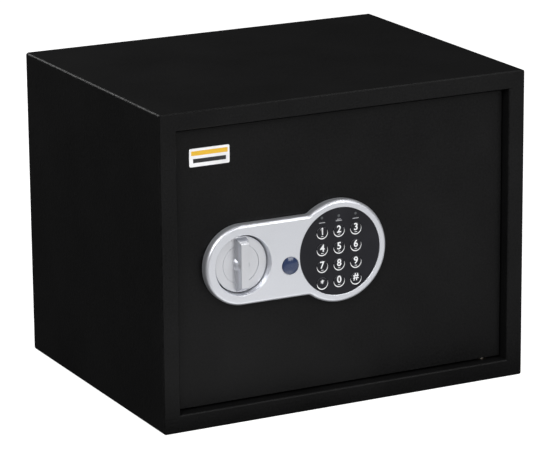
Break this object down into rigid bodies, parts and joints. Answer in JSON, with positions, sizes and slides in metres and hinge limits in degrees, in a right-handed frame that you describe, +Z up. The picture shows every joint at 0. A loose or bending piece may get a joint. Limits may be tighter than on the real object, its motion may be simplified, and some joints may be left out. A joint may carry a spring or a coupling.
{
  "type": "electronic home safe",
  "caption": "Box-shaped steel home safe with a hinged front door, round keypad, turning bolt knob, covered key override and sliding lock bolts.",
  "frame": {"origin": "centre of the cabinet's underside", "axes": "+X to the right seen from the front, -Y out of the front face, +Z up"},
  "size_m": [0.38, 0.3032, 0.3],
  "materials": {
    "cabinet_paint": "fine textured powder coat",
    "door_paint": "fine textured powder coat",
    "cover_paint": "satin paint",
    "carpet": "needled felt",
    "bronze": "plain bearing metal",
    "steel": "zinc plated",
    "bolt_steel": "polished",
    "badge": "satin white",
    "bezel_silver": "satin silver",
    "knob_silver": "satin silver",
    "gasket_rubber": "foam rubber",
    "pad_black": "gloss",
    "key_black": "satin",
    "circuit_board": "solder mask",
    "chip_black": "moulded",
    "lamp_lens": "unlit lens",
    "lock_metal": "nickel plated",
    "plug_brass": "brass",
    "coil_wire": "wound and taped",
    "spring_steel": "spring wire",
    "cable": "insulated cable",
    "tray_plastic": "moulded",
    "cell_jacket": "plain cell jacket",
    "cap_blue": "satin blue-grey",
    "reset_red": "gloss"
  },
  "bodies": {
    "cabinet": {"body_wrap": "cabinet_paint", "front_frame": "cabinet_paint", "rear_panel": "cabinet_paint", "floor_carpet": "carpet", "hinge_bushes": "bronze", "door_stops": "cabinet_paint"},
    "door": {"door_plate": "door_paint", "hinge_blocks": "door_paint", "hinge_pins": "steel", "bolt_guide": "door_paint", "inner_cover": "cover_paint", "cover_screws": "steel", "badge_plate": "badge", "panel_bezel": "bezel_silver", "bezel_gasket": "gasket_rubber", "bezel_screws": "steel", "keypad_face": "pad_black", "keypad_board": "circuit_board", "key_switches": "chip_black", "indicator_leds": "lamp_lens", "knob_bush": "bronze", "lock_barrel": "lock_metal", "lock_nut": "steel", "solenoid_bracket": "steel", "solenoid_yoke": "steel", "solenoid_coil": "coil_wire", "solenoid_spring": "spring_steel", "guide_screws": "steel", "control_board": "circuit_board", "board_parts": "chip_black", "cable_grommet": "gasket_rubber", "wiring": "cable", "battery_tray": "tray_plastic", "battery_contacts": "spring_steel", "battery_cells": "cell_jacket"},
    "knob": {"knob": "knob_silver", "spindle": "steel", "crank": "steel", "crank_screw": "steel"},
    "bolts": {"bolt_carriage": "steel", "locking_bolts": "bolt_steel", "bolt_rivets": "steel"},
    "plunger": {"plunger": "bolt_steel"},
    "override": {"lock_plug": "plug_brass", "lock_cam": "steel"},
    "keyhole_cap": {"keyhole_cap": "cap_blue"},
    "reset_button": {"reset_button": "reset_red"},
    "battery_lid": {"battery_lid": "tray_plastic"},
    "key_one": {"key_one": "key_black"},
    "key_two": {"key_two": "key_black"},
    "key_three": {"key_three": "key_black"},
    "key_four": {"key_four": "key_black"},
    "key_five": {"key_five": "key_black"},
    "key_six": {"key_six": "key_black"},
    "key_seven": {"key_seven": "key_black"},
    "key_eight": {"key_eight": "key_black"},
    "key_nine": {"key_nine": "key_black"},
    "key_star": {"key_star": "key_black"},
    "key_zero": {"key_zero": "key_black"},
    "key_hash": {"key_hash": "key_black"}
  },
  "joints": [
    {"name": "door_hinge", "type": "hinge", "parent": "cabinet", "child": "door", "pos_m": [0.1545, -0.1325, 0.15], "axis": [0, 0, 1], "range_deg": [0, 100]},
    {"name": "knob_turn", "type": "hinge", "parent": "door", "child": "knob", "pos_m": [-0.1075, -0.145, 0.15], "axis": [0, -1, 0], "range_deg": [0, 90]},
    {"name": "bolt_throw", "type": "slide", "parent": "door", "child": "bolts", "axis": [-1, 0, 0], "range_m": [0, 0.01557]},
    {"name": "plunger_slide", "type": "slide", "parent": "door", "child": "plunger", "axis": [0, 0, 1], "range_m": [0, 0.007], "stiffness_N_per_m": 200, "deforming": ["solenoid_spring"]},
    {"name": "override_turn", "type": "hinge", "parent": "door", "child": "override", "pos_m": [-0.0595, -0.14, 0.1432], "axis": [0, 1, 0], "range_deg": [0, 90]},
    {"name": "cap_pull", "type": "slide", "parent": "door", "child": "keyhole_cap", "axis": [0, -1, 0], "range_m": [0, 0.012]},
    {"name": "reset_press", "type": "slide", "parent": "door", "child": "reset_button", "axis": [0, -1, 0], "range_m": [0, 0.0015], "stiffness_N_per_m": 600},
    {"name": "battery_lid_pull", "type": "slide", "parent": "door", "child": "battery_lid", "axis": [0, 1, 0], "range_m": [0, 0.02]},
    {"name": "key_one_press", "type": "slide", "parent": "door", "child": "key_one", "axis": [0, 1, 0], "range_m": [0, 0.0008], "stiffness_N_per_m": 900},
    {"name": "key_two_press", "type": "slide", "parent": "door", "child": "key_two", "axis": [0, 1, 0], "range_m": [0, 0.0008], "stiffness_N_per_m": 900},
    {"name": "key_three_press", "type": "slide", "parent": "door", "child": "key_three", "axis": [0, 1, 0], "range_m": [0, 0.0008], "stiffness_N_per_m": 900},
    {"name": "key_four_press", "type": "slide", "parent": "door", "child": "key_four", "axis": [0, 1, 0], "range_m": [0, 0.0008], "stiffness_N_per_m": 900},
    {"name": "key_five_press", "type": "slide", "parent": "door", "child": "key_five", "axis": [0, 1, 0], "range_m": [0, 0.0008], "stiffness_N_per_m": 900},
    {"name": "key_six_press", "type": "slide", "parent": "door", "child": "key_six", "axis": [0, 1, 0], "range_m": [0, 0.0008], "stiffness_N_per_m": 900},
    {"name": "key_seven_press", "type": "slide", "parent": "door", "child": "key_seven", "axis": [0, 1, 0], "range_m": [0, 0.0008], "stiffness_N_per_m": 900},
    {"name": "key_eight_press", "type": "slide", "parent": "door", "child": "key_eight", "axis": [0, 1, 0], "range_m": [0, 0.0008], "stiffness_N_per_m": 900},
    {"name": "key_nine_press", "type": "slide", "parent": "door", "child": "key_nine", "axis": [0, 1, 0], "range_m": [0, 0.0008], "stiffness_N_per_m": 900},
    {"name": "key_star_press", "type": "slide", "parent": "door", "child": "key_star", "axis": [0, 1, 0], "range_m": [0, 0.0008], "stiffness_N_per_m": 900},
    {"name": "key_zero_press", "type": "slide", "parent": "door", "child": "key_zero", "axis": [0, 1, 0], "range_m": [0, 0.0008], "stiffness_N_per_m": 900},
    {"name": "key_hash_press", "type": "slide", "parent": "door", "child": "key_hash", "axis": [0, 1, 0], "range_m": [0, 0.0008], "stiffness_N_per_m": 900}
  ],
  "couplings": [
    {"joint": "knob_turn", "follows": "bolt_throw", "rad_per_m": 100.9}
  ]
}
